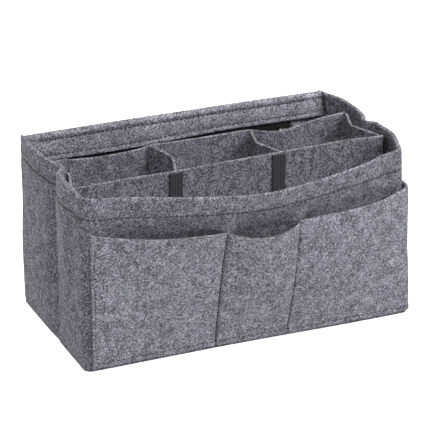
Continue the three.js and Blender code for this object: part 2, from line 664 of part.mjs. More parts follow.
place('zip_pocket_lining', zipPocketLining(), felt(LINING_COLOUR));
for (const upper of [true, false]) {
  const side = upper ? 'upper' : 'lower';
  const sign = upper ? 1 : -1;
  const [near, far] = [(sign * ROW_SPACE) / 2, sign * ROWS_HALF_HEIGHT];
  place(`zip_tape_${side}`, zipTape(upper), tape());
  place(`zip_teeth_${side}`, zipTeeth(upper), tape());
  const stop = zipStop(STOP_END_X, ZIP_Z + Math.min(near, far), ZIP_Z + Math.max(near, far));
  place(`zip_top_stop_${side}`, stop, nickel());
}
place('zip_bottom_stop', zipStop(-STOP_END_X, ZIP_Z - ROWS_HALF_HEIGHT, ZIP_Z + ROWS_HALF_HEIGHT), nickel());
place('zip_slider', zipSlider(), nickel());
place('zip_pull', zipPull(), nickel());

place('divider_back_panel', dividerBackPanel(), felt(LINING_COLOUR));
place('divider_front_panel', dividerFrontPanel(), felt(LINING_COLOUR));
for (const sign of [-1, 1]) {
  const side = sign < 0 ? 'left' : 'right';
  const walls = { end: END_WALL_X, cross: CROSS_WALL_X };
  for (const [kind, x] of Object.entries(walls)) {
    place(`${side}_${kind}_wall_rear`, dividerHalfWall(sign * x, true), felt(LINING_COLOUR));
    place(`${side}_${kind}_wall_front`, dividerHalfWall(sign * x, false), felt(LINING_COLOUR));
  }
  place(`divider_front_strip_${side}`, dividerFrontStrip(sign * CROSS_WALL_X), strip());
  place(`divider_end_strip_${side}`, dividerEndStrip(sign * END_WALL_X), strip());
  const stripY = DIVIDER_FRONT_Y + SIDE_STRIP_BEHIND;
  const sideRun = sign < 0 ? runAtLeft(stripY) : runAtRight(stripY);
  place(`side_loop_strip_${side}`, wallStrip(sideRun, END_STRIP_FOOT, END_STRIP_THICKNESS), strip());
  const frontRun = runAtFront(sign * CROSS_WALL_X);
  place(`front_loop_strip_${side}`, wallStrip(frontRun, FRONT_STRIP_FOOT, STRIP_THICKNESS), strip());
}

export default insert;
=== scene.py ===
import math

import bmesh
import bpy
import numpy as np
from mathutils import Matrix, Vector


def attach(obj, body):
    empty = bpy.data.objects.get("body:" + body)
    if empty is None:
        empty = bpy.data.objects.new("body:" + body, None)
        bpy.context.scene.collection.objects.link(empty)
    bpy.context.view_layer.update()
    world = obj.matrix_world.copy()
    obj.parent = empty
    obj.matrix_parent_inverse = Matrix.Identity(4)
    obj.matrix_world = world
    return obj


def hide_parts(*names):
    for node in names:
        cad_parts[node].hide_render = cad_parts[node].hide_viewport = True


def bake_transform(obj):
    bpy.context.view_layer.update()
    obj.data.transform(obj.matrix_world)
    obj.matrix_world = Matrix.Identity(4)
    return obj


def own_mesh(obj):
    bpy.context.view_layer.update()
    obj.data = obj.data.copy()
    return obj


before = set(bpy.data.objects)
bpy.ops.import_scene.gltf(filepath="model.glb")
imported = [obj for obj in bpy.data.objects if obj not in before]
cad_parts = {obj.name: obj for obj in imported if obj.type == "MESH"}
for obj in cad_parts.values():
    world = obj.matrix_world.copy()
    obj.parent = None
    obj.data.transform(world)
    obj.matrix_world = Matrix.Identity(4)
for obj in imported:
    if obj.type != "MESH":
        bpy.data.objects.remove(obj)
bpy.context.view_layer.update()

# All lengths below are millimetres, in the part's own frame; meshes are scaled to metres when made.
MM = 0.001

# Body. A run is the distance from the back left corner, round the left side, the front and the right side.
WIDTH, DEPTH, HEIGHT = 260.0, 134.0, 134.0
HALF_W, HALF_D = WIDTH / 2, DEPTH / 2
FELT = 2.2
CORNER = 6.0
SIDE_RUN = DEPTH - CORNER
CORNER_RUN = math.pi / 2 * CORNER
FRONT_RUN = WIDTH - 2 * CORNER
FRONT_START = SIDE_RUN + CORNER_RUN
RUN = 2 * FRONT_START + FRONT_RUN

# Hems, folded to the inside. Behind PARED_Y the side hems are pared down, where the back wall is sewn on.
HEM = 20.0
HEM_EDGE = HEIGHT - HEM
HEM_STITCH = HEIGHT - 16.0
RIM_STITCH = HEIGHT - 5.0
HEM_THICK = 3.6
PARED_Y = 60.0
PARED_THICK = FELT + 0.2

# How far the walls are bent, read from the photograph. Over LEAN_FOOT the rims lean out at the back.
BULGE = 31.3
RIM_SAG = 2.4
BELLY = 6.5
TUCK = 5.5
FOOT_OUT = 3.5
LEFT_FOLD, RIGHT_FOLD = 8.5, 6.5
CORNER_PUSH = 6.0
LEAN_FOOT = 108.0

# Back wall layers, from the outside to the inside, with room for the zip's tape between two of them
TAPE_ROOM = 2.2
BACK_INNER = HALF_D - FELT
LAYER_BACK = BACK_INNER - TAPE_ROOM
LAYER_FRONT = LAYER_BACK - FELT
BACK_HALF = 127.6
FLOOR_TOP = 2.5

# Zip. The tapes leave a slot of two gaps, and the lower one runs on past the slot's ends.
ZIP_HALF = 94.0
ZIP_Z = HEM_EDGE - 5.0
ZIP_GAP = 0.55
TAPE_THICK = 0.6
TAPE_REACH = 13.0
TAPE_PAST = 8.0
TAPE_Y = LAYER_BACK + 0.6
TEETH_Y = LAYER_BACK - 0.8
ZIP_STITCH = HEM_EDGE - 12.6

# Divider
DIV_HALF = 121.5
DIV_RIGHT = 124.8
DIV_TOP = 125.0
DIV_Y = 1.0
DIV_BACK = DIV_Y + 27.5
DIV_FRONT = DIV_Y - 27.5
HINGE_HALF = 23.9
END_X, CROSS_X = 118.5, 41.5
WALL_BOW = 7.0

# Hook and loop strips. Those on the divider end a little below its top.
STRIP = 10.5
STRIP_EDGE = 0.5
STRIP_THICK, STRIP_THIN = 2.0, 1.5
STRIP_BELOW = 1.0
SIDE_STRIP_FOOT, SIDE_STRIP_TOP = 30.0, 128.0
FRONT_LOOP_FOOT, FRONT_LOOP_TOP = 40.0, HEM_EDGE - 4

# A stitch: how far along, how wide and how high the thread is, from where it leaves the felt to where it ends
STITCH_FORM = ((0.0, 0.55, -0.5), (0.25, 1.0, 0.15), (0.75, 1.0, 0.15), (1.0, 0.55, -0.5))
STITCH_SIDES = 6

# Seeds of the unevenness, by piece
WALL_SEED, BACK_SEED, POCKET_SEED, LINING_SEED = 3, 5, 11, 17
DIVIDER_BACK_SEED, DIVIDER_FRONT_SEED, DIVIDER_WALL_SEED = 23, 29, 31


# Meshes

def mesh_object(name, points, faces):
    mesh = bpy.data.meshes.new(name)
    mesh.from_pydata((np.asarray(points, float) * MM).tolist(), [], faces)
    work = bmesh.new()
    work.from_mesh(mesh)
    bmesh.ops.recalc_face_normals(work, faces=work.faces)
    for face in work.faces:
        face.smooth = True
    work.to_mesh(mesh)
    work.free()
    obj = bpy.data.objects.new(name, mesh)
    bpy.context.scene.collection.objects.link(obj)
    return obj


def tube_faces(base, count, size):
    """The faces of a closed tube through rings of size points, the first of which is number base."""
    last = base + (count - 1) * size
    faces = [[base + i for i in range(size)], [last + i for i in reversed(range(size))]]
    for row in range(base, last, size):
        for i in range(size):
            a, b = row + i, row + (i + 1) % size
            faces.append([a, b, b + size, a + size])
    return faces


def ring_loft(name, rings):
    """A closed solid through rings of equally many points, with flat ends."""
    return mesh_object(name, rings.reshape(-1, 3), tube_faces(0, *rings.shape[:2]))


def edged(low, high, step, edge=1.0):
    """Stations from low to high, closer together at both edges where the felt is rounded."""
    near = np.array([0.0, 0.08, 0.25, 0.55]) * edge
    inner = np.linspace(low + edge, high - edge, max(int((high - low) / step), 2) + 1)
    return np.concatenate([low + near, inner, (high - near)[::-1]])


def slab(name, surface, us, low, high, step, thickness=FELT, edge=1.0):
    """A sheet with rounded cut edges. surface(u, v) gives its middle and the direction of its front; low(u)
    and high(u) bound v."""
    roundness = 2.6
    us = np.asarray(us, float)
    tall = high(us) - low(us)
    share = edged(0.0, 1.0, step / float(np.max(tall)), 0.01)
    v = low(us)[:, None] + tall[:, None] * share[None, :]
    u = np.repeat(us[:, None], v.shape[1], axis=1)
    reach = np.minimum(np.minimum(u - us[0], us[-1] - u), np.minimum(v - v[:, :1], v[:, -1:] - v))
    part = 1 - np.clip(reach / edge, 0, 1)
    half = (thickness / 2 * (1 - part ** roundness) ** (1 / roundness))[..., None]
    middle, front = surface(u, v)
    index = np.arange(u.size).reshape(u.shape)
    border = np.zeros(u.shape, bool)
    border[[0, -1]] = True
    border[:, [0, -1]] = True
    back = index.copy()
    back[~border] = u.size + np.arange((~border).sum())
    points = np.concatenate([(middle + front * half).reshape(-1, 3), (middle - front * half)[~border]])
    faces = []
    for grid in (index, back):
        quads = np.stack([grid[:-1, :-1], grid[1:, :-1], grid[1:, 1:], grid[:-1, 1:]], axis=-1)
        faces.extend(quads.reshape(-1, 4).tolist())
    return mesh_object(name, points, faces)


def swept(along, profile):
    """Stations along a piece and the two columns of its profile, as grids with one ring for each station."""
    shape = (len(along), len(profile))
    return [np.broadcast_to(part, shape) for part in (along[:, None], profile[:, 0], profile[:, 1])]


def constant(value):
    return lambda u: np.full(np.shape(u), float(value))


def facing(like, *direction):
    """One direction for every point of a grid."""
    return np.broadcast_to(np.array(direction, float), np.shape(like) + (3,))


def unit(vectors):
    return vectors / np.linalg.norm(vectors, axis=-1, keepdims=True)


def smoothstep(x, low, high):
    t = np.clip((x - low) / (high - low), 0, 1)
    return t * t * (3 - 2 * t)


def hump(x, middle, width):
    """A rounded rise from 0 to 1 and back."""
    return np.exp(-((x - middle) / width) ** 2)


def groove(x, line, depth, width=1.3):
    """How far a stitched line pulls the felt in."""
    return depth * hump(x, line, width)


def per_side(x, left, right):
    return np.where(x < 0, left, right)


def ripple(a, b, seed):
    """A slow unevenness of hand-sewn felt, about one millimetre from crest to hollow at most."""
    phase = np.random.default_rng(seed).uniform(0, 2 * math.pi, 6)
    return (
        0.34 * np.sin(a / 17 + phase[0] + 0.8 * np.sin(b / 29 + phase[1]))
        + 0.26 * np.sin(b / 13 + phase[2] + 0.9 * np.sin(a / 23 + phase[3]))
        + 0.12 * np.sin(a / 7.1 + b / 8.3 + phase[4])
    )


def stitch_line(name, point, normal, low, high, pitch=3.6, length=2.7, radius=0.42):
    """Stitches along a line, as one mesh. The line's place and outward direction are functions of a distance,
    and each stitch dips into the felt at both ends."""
    at = np.arange(low, high - length, pitch)
    starts, out = point(at), normal(at + length / 2)
    along = point(at + length) - starts
    across = unit(np.cross(out, along))
    turns = np.arange(STITCH_SIDES) * 2 * math.pi / STITCH_SIDES
    rings = []
    for place, wide, lift in STITCH_FORM:
        centre = starts + along * place + out * (lift * radius)
        ring = [centre + radius * wide * (across * math.cos(t) + out * math.sin(t)) for t in turns]
        rings.append(np.stack(ring, axis=1))
    points = np.stack(rings, axis=1).reshape(-1, 3)
    faces = []
    for n in range(len(at)):
        faces.extend(tube_faces(n * len(rings) * STITCH_SIDES, len(rings), STITCH_SIDES))
    return mesh_object(name, points, faces)


# Body walls

def run_at_front(x):
    return FRONT_START + x + FRONT_RUN / 2


def run_at_left(y):
    return HALF_D - y


# Where the pocket sheet is sewn: its left edge, two seams and its right edge, round the corner
POCKET_SEAMS = (
    run_at_front(-125.0), run_at_front(-30.5), run_at_front(26.0), FRONT_START + FRONT_RUN + 12,
)


def base_outline(run):
    mirrored = run > RUN / 2
    s = np.where(mirrored, RUN - run, run)
    turn = np.clip((s - SIDE_RUN) / CORNER, 0, math.pi / 2)
    x = -HALF_W + CORNER * (1 - np.cos(turn)) + np.maximum(s - FRONT_START, 0)
    y = HALF_D - np.minimum(s, SIDE_RUN) - CORNER * np.sin(turn)
    return np.where(mirrored, -x, x), y


def pleat(y, tip, back_reach, back_round, front_reach, near=0.35, near_reach=9):
    """How far a side wall is folded in, from 0 to 1 at the fold's tip. A share of it stays near the tip."""
    back = np.clip(1 - (y - tip) / back_reach, 0, 1) ** back_round
    back = (1 - near) * back + near * np.clip(1 - (y - tip) / near_reach, 0, 1) ** 1.5
    front = 0.5 * (1 + np.cos(math.pi * np.clip((tip - y) / front_reach, 0, 1)))
    return np.where(y >= tip, back, front)


def left_pleat(y, high):
    """Softer and further back towards the rim, where high goes from 0 to 1."""
    return pleat(
        y - 4 * high, tip=-8, back_reach=46, back_round=1.7, front_reach=5 + 8 * high,
        near=0.6 - 0.25 * high, near_reach=20 - 11 * high,
    )


def right_pleat(y):
    return pleat(y, tip=-3.6, back_reach=26, back_round=2.0, front_reach=9)


def sag(x):
    """Where the front's rim hangs lowest, from 0 to 1."""
    return smoothstep(x, -70, 10) * (1 - smoothstep(x, 88, 122))


def bulge(x):
    """How far the front's rim stands out over its foot."""
    across = np.clip((x + HALF_W) / WIDTH, 0, 1)
    pointed = np.where(across < 0.42, 1.22, 1.05)
    return BULGE * np.sin(math.pi * across ** 0.8) ** pointed + 3.0 * sag(x)


def foot(x):
    """The front's lower edge stands a little further out on the right."""
    return FOOT_OUT * smoothstep(x, -40, 110)


def belly(x, height):
    """Half way up, the front swells between the second seam and the right corner."""
    return BELLY * hump(x, 38, 36) * np.sin(math.pi * np.clip(height / 105, 0, 1))


def tuck(run, height):
    """The front wall falls back under its hem, where the pockets stand open, and not at their seams."""
    left, first, second, right = POCKET_SEAMS
    free = np.sin(math.pi * np.clip((run - left) / (right - left), 0, 1)) ** 0.5
    for seam in (first, second):
        free = free * (1 - hump(run, seam, 6))
    free = free * (1 - 0.5 * smoothstep(run, second, second + 30))
    under_hem = np.clip((HEM_STITCH - 1 - height) / 22, 0, 1) ** 0.6
    return TUCK * free * under_hem * smoothstep(height, 25, 85)


def drawn_in(x, y):
    """The right side is drawn in towards its front corner, and the left one stands out a little there."""
    drawn = per_side(x, -1.8 * smoothstep(-y, 14, 36), 12.6 * smoothstep(-y, 34, 70))
    return drawn * np.abs(x / HALF_W) ** 4


def folded_in(x, y, height):
    """The pleat of each side, shallow at the base and at the left rim."""
    high = smoothstep(height, 95, HEIGHT)
    fold = per_side(x, (LEFT_FOLD - 1.5 * high) * left_pleat(y, high), RIGHT_FOLD * right_pleat(y))
    return fold * (0.1 + 0.9 * np.clip(2.2 * height / HEIGHT, 0, 1) ** 0.8)


def swelling(x, y, height):
    """Each side swells out in front of its pleat, and the right one behind it too."""
    ahead = per_side(x, 3.0 * hump(y, -35, 14), 2.0 * hump(y, -30, 13))
    ahead = ahead * smoothstep(height, 5, 90) * (1 - smoothstep(height, 120, HEIGHT))
    return ahead + per_side(x, 0, 1.6) * hump(y, 36, 24) * (height / HEIGHT) ** 1.5


def pushed_out(x, y):
    """The front corners go forwards with the bulge."""
    return CORNER_PUSH * per_side(
        x,
        smoothstep(-x, 95, 128) * smoothstep(-y, 20, 60),
        smoothstep(x, 98, 122) * smoothstep(-y, 34, 64),
    )


def rim_lean(z):
    """How far a rim has leant out: from 0 below the hem to 1 at the rim, and a little further over it."""
    return np.clip((z - LEAN_FOOT) / (HEIGHT - LEAN_FOOT), 0, 1.2) ** 1.3


def back_corner(x, y, z):
    """The two back corners are drawn together a little, the right one more. Added to a place at rest."""
    near = smoothstep(np.abs(x), 92, 127) * smoothstep(y, 40, 69) * np.clip(z / HEIGHT, 0, 1.1) ** 2
    return per_side(x, 2.2, -7.0) * near


def side_rise(x, y, z):
    """Towards the back the rim climbs, most of all on the right, where it meets the back wall's rim."""
    return per_side(x, 0.8, 2.0) * smoothstep(y, -25, 62) * smoothstep(z, 50, HEIGHT)


def wall_face(run, height, tucked=True):
    """A place on the outer face."""
    x, y = base_outline(run)
    share = height / HEIGHT
    front = smoothstep(-y, HALF_D - CORNER, HALF_D)
    inwards = drawn_in(x, y) * share + folded_in(x, y, height) - swelling(x, y, height)
    forwards = (
        (front * bulge(x) + pushed_out(x, y)) * share ** 1.4
        + front * (belly(x, height) + foot(x) * (1 - share))
        - tuck(run, height) * tucked
    )
    lean = per_side(x, 1.0, 4.2) * smoothstep(y, 20, HALF_D) * rim_lean(height)
    sunk = forwards ** 2 / (2 * HEIGHT) + RIM_SAG * front * sag(x) * share ** 4
    return np.stack([
        x + per_side(x, inwards, -inwards) + back_corner(x, y, height),
        y - forwards + lean,
        height - sunk + side_rise(x, y, height),
    ], axis=-1)


def wall_normal(run, height, tucked=True):
    """Outward, in plan."""
    ahead, behind = np.minimum(run + 0.5, RUN), np.maximum(run - 0.5, 0)
    along = wall_face(ahead, height, tucked) - wall_face(behind, height, tucked)
    return unit(np.stack([along[..., 1], -along[..., 0], np.zeros_like(along[..., 0])], axis=-1))


def wall_point(run, height, depth, tucked=True):
    """A place behind the outer face, or in front of it where depth is negative."""
    run, height, depth = np.broadcast_arrays(run, height, depth)
    uneven = ripple(run, height, WALL_SEED)
    uneven = uneven * smoothstep(height, 4, 40) * (1 - 0.6 * smoothstep(height, 100, HEIGHT))
    return wall_face(run, height, tucked) - wall_normal(run, height, tucked) * (depth - uneven)[..., None]


def front_wrap():
    """The left side, front and right side in one piece, its hem folded to the inside and stitched."""
    radius = HEM_THICK / 2
    up = np.concatenate([
        np.linspace(0, HEM_EDGE - 1, 46),
        np.linspace(HEM_STITCH - 4, HEM_STITCH + 4, 17),
        np.linspace(HEM_STITCH + 5.5, HEIGHT - radius - 0.8, 5),
    ])
    hem = up[up > HEM_EDGE + 0.8][::-1]
    down = np.linspace(HEM_EDGE - 1.2, 0, 46)
    turn = np.linspace(0, math.pi, 13)
    profile = np.concatenate([
        np.stack([groove(up, HEM_STITCH, 0.7) + groove(up, 2, 0.35, 2.5), up], axis=1),
        np.stack([radius * (1 - np.cos(turn)), HEIGHT - radius * (1 - np.sin(turn))], axis=1),
        np.stack([HEM_THICK - groove(hem, HEM_STITCH, 0.5), hem], axis=1),
        [[HEM_THICK, HEM_EDGE + 0.7], [HEM_THICK - 0.15, HEM_EDGE + 0.15]],
        [[HEM_THICK - 0.6, HEM_EDGE], [PARED_THICK, HEM_EDGE + 0.05]],
        np.stack([np.full_like(down, FELT), down], axis=1),
    ])
    half = np.concatenate([
        [0.0, 3.0, run_at_left(PARED_Y + 0.1)],
        np.arange(run_at_left(PARED_Y - 0.2), SIDE_RUN, 1.7),
        np.linspace(SIDE_RUN, FRONT_START, 13)[:-1],
        np.linspace(FRONT_START, RUN / 2, 64)[:-1],
    ])
    run, depth, height = swept(np.concatenate([half, [RUN / 2], (RUN - half)[::-1]]), profile)
    behind = (run < run_at_left(PARED_Y)) | (run > RUN - run_at_left(PARED_Y))
    depth = np.where(behind & (height >= HEM_EDGE - 1), depth * PARED_THICK / HEM_THICK, depth)
    return ring_loft("front_wrap_felt", wall_point(run, height, depth))


def to_the_right(x):
    """From 0 at the back wall's left end to 1 near its right end, quickly at first."""
    return 1 - (1 - np.clip((x + 129) / 248, 0, 1)) ** 2


def back_rise(x, z):
    """The hem of the back wall climbs a little to the right, and its lower edge dips on the left."""
    rim = 0.8 + 1.2 * to_the_right(x)
    edge = 3.8 * smoothstep(x, -60, 50) - 0.6 * smoothstep(x, -127, -80)
    share = smoothstep(z, HEM_EDGE, HEIGHT)
    return (edge * (1 - share) + rim * share) * smoothstep(z, 100, HEM_EDGE)


def back_lean(x, z):
    """The hem of the back wall leans outwards, most of all on the right."""
    return (1.0 + 3.2 * to_the_right(x)) * rim_lean(z)


def back_uneven(x, z):
    return 0.55 * ripple(x, z, BACK_SEED)


def back_panel():
    """The back wall, its hem folded to the inside with the zip's tape in the fold."""
    radius = (HALF_D - LAYER_FRONT) / 2
    fold_inside = HEM_EDGE + 12
    up = np.concatenate([
        np.linspace(0, HEM_EDGE - 2, 40),
        np.linspace(HEM_STITCH - 4, HEM_STITCH + 4, 17),
        np.linspace(HEM_STITCH + 5, HEIGHT - radius - 0.6, 10),
    ])
    hem = up[up > HEM_EDGE + 0.8][::-1]
    down = np.linspace(HEM_EDGE - 4, 0, 39)
    turn = np.linspace(0, math.pi, 15)
    dent = groove(hem, HEM_STITCH, 0.5) + groove(hem, RIM_STITCH, 0.8)
    profile = np.concatenate([
        np.stack([HALF_D - groove(up, HEM_STITCH, 0.6), up], axis=1),
        np.stack([HALF_D - radius * (1 - np.cos(turn)), HEIGHT - radius * (1 - np.sin(turn))], axis=1),
        np.stack([LAYER_FRONT + dent, hem], axis=1),
        [[LAYER_FRONT + 0.3, HEM_EDGE + 0.15], [LAYER_FRONT + 1.0, HEM_EDGE]],
        [[LAYER_BACK - 0.1, HEM_EDGE + 0.1], [LAYER_BACK, fold_inside], [BACK_INNER, fold_inside]],
        np.stack([np.full_like(down, BACK_INNER), down], axis=1),
    ])
    x, y, z = swept(np.linspace(-BACK_HALF, BACK_HALF, 132), profile)
    uneven = back_uneven(x, z) * smoothstep(z, 4, 40) * (1 - smoothstep(np.abs(x), 118, 127))
    places = [x + back_corner(x, y, z), y + uneven + back_lean(x, z), z + back_rise(x, z)]
    return ring_loft("back_panel_felt", np.stack(places, axis=-1))


def base_panel():
    """The base, cut to the walls' pleats and to the front's foot."""
    half_x, half_y, radius = 127.75, 64.75, 3.6

    def half_width(y):
        over = np.clip(radius - half_y - y, 0, radius)
        return half_x - radius + np.sqrt(radius ** 2 - over ** 2)

    def left_edge(y):
        return 0.85 * left_pleat(y, 0) - half_width(y)

    def right_edge(y):
        return half_width(y) - 0.65 * right_pleat(y)

    def surface(y, x):
        front = y - foot(x) * smoothstep(-y, 40, half_y)
        return np.stack([x, front, np.full_like(x, FELT / 2)], axis=-1), facing(x, 0, 0, 1)

    return slab("base_felt", surface, edged(-half_y, half_y, 2.0), left_edge, right_edge, 3.0)


# Front pockets, with stitched lines along the foot and beside the sheet's two upright edges

POCKET_FOOT = 2.5
FOOT_STITCH = POCKET_FOOT + 4.0
POCKET_EDGES = (POCKET_SEAMS[0] + 2.0, POCKET_SEAMS[3] - 3.5)


def pocket_shares(run):
    """How far along each of the three pockets a place is, from 0 to 1."""
    return [np.clip((run - low) / (high - low), 0, 1) for low, high in zip(POCKET_SEAMS, POCKET_SEAMS[1:])]


def pocket_open(run):
    """How far the mouths stand open."""
    left, middle, right = pocket_shares(run)
    return (
        5.0 * np.sin(math.pi * left ** 0.7) ** 1.1
        + 8.0 * np.sin(math.pi * middle) ** 0.8
        + 8.5 * np.sin(math.pi * right ** 1.15) ** 1.2
        + 1.6 * hump(run, POCKET_SEAMS[0], 5)
    )


def pocket_mouth(run):
    """The height of the mouths' edge, which hangs most in the middle."""
    left, middle, right = pocket_shares(run)
    rise = 101.8 - 0.8 * middle + 4.0 * right + 7.0 * (1 - left) ** 2.5
    return rise - 5.0 * np.sin(math.pi * middle) ** 0.7 - 0.8 * np.sin(math.pi * left ** 0.7)


def pocket_gap(run, height):
    share = np.clip((height - POCKET_FOOT) / (pocket_mouth(run) - POCKET_FOOT), 0, 1)
    return 0.35 + pocket_open(run) * np.sin(math.pi / 2 * share) ** 1.4


def pocket_dent(run, height):
    """Seams pull the felt in: down both lines, along the foot and beside both edges."""
    dent = groove(height, FOOT_STITCH, 0.35, 1.2)
    for line, depth in zip(POCKET_SEAMS[1:3] + POCKET_EDGES, (2.2, 1.3, 0.9, 0.35)):
        dent = dent + groove(run, line, depth, 1.0)
    return dent


def pocket_middle(run, height, lift=0.0):
    """A place in the middle of the pocket sheet's thickness, or in front of it by lift."""
    out = pocket_gap(run, height) + FELT / 2 - pocket_dent(run, height) + lift
    out = out + 0.5 * np.abs(ripple(run, height, POCKET_SEED)) * smoothstep(height, 6, 40)
    return wall_point(run, height, -out, tucked=False)


def front_pocket():
    def surface(run, height):
        return pocket_middle(run, height), wall_normal(run, height, tucked=False)

    runs = edged(POCKET_SEAMS[0], POCKET_SEAMS[3], 1.8)
    for seam in POCKET_SEAMS[1:3]:
        runs = np.concatenate([runs[np.abs(runs - seam) > 4.5], np.linspace(seam - 4, seam + 4, 17)])
    return slab("front_pocket_felt", surface, np.sort(runs), constant(POCKET_FOOT), pocket_mouth, 1.8)


# Zip pocket

def upright(y_of):
    """A surface facing the front, from a function of x and z."""
    def surface(x, z):
        return np.stack([x, y_of(x, z), z], axis=-1), facing(x, 0, -1, 0)

    return surface


def zip_lining():
    """The lining hangs from the hem beside the zip and from the lower tape under it."""
    half, opening = 127.3, ZIP_HALF - 1.5

    def top(x):
        return HEM_EDGE - 0.3 - 9.7 * (1 - smoothstep(np.abs(x), ZIP_HALF, ZIP_HALF + 0.6))

    def y_of(x, z):
        hang = 0.5 * (1 + np.cos(math.pi * x / 125)) * smoothstep(z, 2, 40) * (1 - smoothstep(z, 80, 104))
        uneven = 0.3 * ripple(x, z, LINING_SEED) * (1 - smoothstep(z, 90, 103))
        return LAYER_FRONT + FELT / 2 - 1.2 * hang + uneven

    step = -ZIP_HALF - np.array([0.6, 0.3, 0.0, -0.3])
    left = np.concatenate([edged(-half, -ZIP_HALF - 0.7, 2.2)[:-4], step])
    xs = np.concatenate([left, np.linspace(-opening, opening, 84), -left[::-1]])
    return slab("zip_pocket_lining_felt", upright(y_of), xs, constant(FLOOR_TOP), top, 2.2)


def zip_tape(side, sign, half):
    low, high = sorted((ZIP_Z + sign * ZIP_GAP, ZIP_Z + sign * TAPE_REACH))
    surface = upright(lambda x, z: np.full_like(x, TAPE_Y))
    xs = edged(-half, half, 4, 0.3)
    return slab(
        f"zip_tape_{side}_woven", surface, xs, constant(low), constant(high), 1.5, TAPE_THICK, 0.3,
    )


def zip_coil(side, sign):
    """A row of nylon coil: one bent loop for each tooth, open towards its tape. The two rows interlock."""
    pitch, radius, sides, bend = 1.3, 0.36, 6, 2.6
    half = ZIP_HALF - 3.0
    first = 0.5 if sign > 0 else 0.0
    centres = -half + pitch * (np.arange(int(2 * half / pitch)) + first) + 0.2
    turn = np.linspace(-bend, bend, 11)
    flat = np.stack([0.22 * turn / bend, 0.42 * np.sin(turn), -sign * 0.8 * np.cos(turn)], axis=1)
    path = flat + [0, TEETH_Y, ZIP_Z + sign * (ZIP_GAP + radius + 0.75)]
    step = unit(np.gradient(path, axis=0))
    across = unit(np.cross(step, [1.0, 0, 0]))
    other = np.cross(step, across)
    angles = (np.arange(sides) * 2 * math.pi / sides)[None, :, None]
    ring = path[:, None] + radius * (across[:, None] * np.cos(angles) + other[:, None] * np.sin(angles))
    points, faces = [], []
    for n, x in enumerate(centres):
        points.append(ring.reshape(-1, 3) + [x, 0, 0])
        faces.extend(tube_faces(n * len(turn) * sides, len(turn), sides))
    return mesh_object(f"zip_coil_{side}", np.concatenate(points), faces)


# Divider

# The back panel's upper edge in plan, as x and y at its bends
BACK_LINE = (
    (-122, 31.2), (-111, 30), (-97, 27), (-83, 24.6), (-66, 22.8), (-51, 22.8), (-45.5, 25.4),
    (-41.5, 27.6), (-20, 27.2), (0, 27.3), (20, 28.2), (37, 29), (42.5, 28.2), (48, 22.5),
    (53, 19.2), (59, 18.2), (65, 18.6), (74, 22), (91, 25.6), (102, 28), (125, 30.8),
)


def divider_top(x):
    """The divider stands a little higher towards the right."""
    return DIV_TOP + 0.027 * np.maximum(x + 42, 0)


def back_panel_top(x):
    """The back panel's upper edge hangs a little between the two right walls, in front of the slider."""
    level = np.maximum(DIV_TOP + 2.4 * smoothstep(x, -90, -42), divider_top(x))
    return level - 1.6 * hump(x, 74, 18)


def back_line(x, z):
    """The back panel swells forwards between its walls, most of all on the right. Its bends are rounded."""
    near = np.linspace(-2.5, 2.5, 6)
    top = sum(np.interp(x + d, *zip(*BACK_LINE)) for d in near) / len(near)
    plain_y = DIV_BACK - FELT / 2
    return plain_y + (top - plain_y) * (0.3 + 0.7 * z / DIV_TOP)


def front_line(x):
    """The divider's front panel bends forwards at its ends, most of all at the right one."""
    return DIV_FRONT + FELT / 2 - 4.6 * smoothstep(x, 92, 125) - 3.0 * smoothstep(-x, 70, 121)


def divider_panel(name, line, top, seed):
    def y_of(x, z):
        return line(x, z) + 0.35 * ripple(x, z, seed)

    return slab(name, upright(y_of), edged(-DIV_HALF, DIV_RIGHT, 1.5), constant(FLOOR_TOP), top, 2.2)


def wall_line(wall_x, y):
    """Middle line of a creased wall in plan. The end walls stand a little further out than their hinges."""
    t = np.clip((y - DIV_Y) / HINGE_HALF, -1.1, 1.1)
    soft = 0.13
    shape = (math.hypot(1, soft) - np.sqrt(t ** 2 + soft ** 2)) / (math.hypot(1, soft) - soft)
    spread = 0.0
    if wall_x > CROSS_X:
        spread = 5.0 - 1.5 * shape - 1.8 * (1 - shape) * (t < 0)
    elif wall_x < -CROSS_X:
        spread = 3.0
    return wall_x + np.sign(wall_x) * (spread - WALL_BOW * shape)


def divider_wall(name, wall_x, seed):
    gap = 0.3

    def surface(y, z):
        x = wall_line(wall_x, y)
        slope = (wall_line(wall_x, y + 0.2) - wall_line(wall_x, y - 0.2)) / 0.4
        front = unit(np.stack([np.ones_like(x), -slope, np.zeros_like(x)], axis=-1))
        return np.stack([x + 0.3 * ripple(y * 2, z, seed), y, z], axis=-1), front

    def top(y):
        back_share = smoothstep(y, DIV_FRONT, DIV_BACK)
        return divider_top(wall_x) * (1 - back_share) + back_panel_top(wall_x) * back_share

    front_end = float(front_line(wall_line(wall_x, DIV_FRONT))) + FELT / 2 + gap
    back_end = float(back_line(wall_x, DIV_TOP)) - FELT / 2 - gap
    return slab(name, surface, edged(front_end, back_end, 1.3), constant(FLOOR_TOP), top, 2.2)


# Hook and loop strips

def strip(name, surface, start, low, high, step, thickness):
    across = edged(start, start + STRIP, 1.2, STRIP_EDGE)
    return slab(name, surface, across, low, high, step, thickness, STRIP_EDGE)


def divider_end_strip(name, sign):
    """On the outside of an end wall's front half."""
    start = DIV_Y - HINGE_HALF + 2
    if sign > 0:
        start = float(front_line(END_X + 4.5)) + FELT / 2 + 0.8

    def surface(u, z):
        x = wall_line(sign * END_X, start + u) + sign * (FELT / 2 + 0.2 + STRIP_THICK / 2)
        return np.stack([x, start + u, z], axis=-1), facing(x, sign, 0, 0)

    top = float(divider_top(sign * END_X)) - STRIP_BELOW
    return strip(name, surface, 0, constant(SIDE_STRIP_FOOT), constant(top), 2.0, STRIP_THICK)


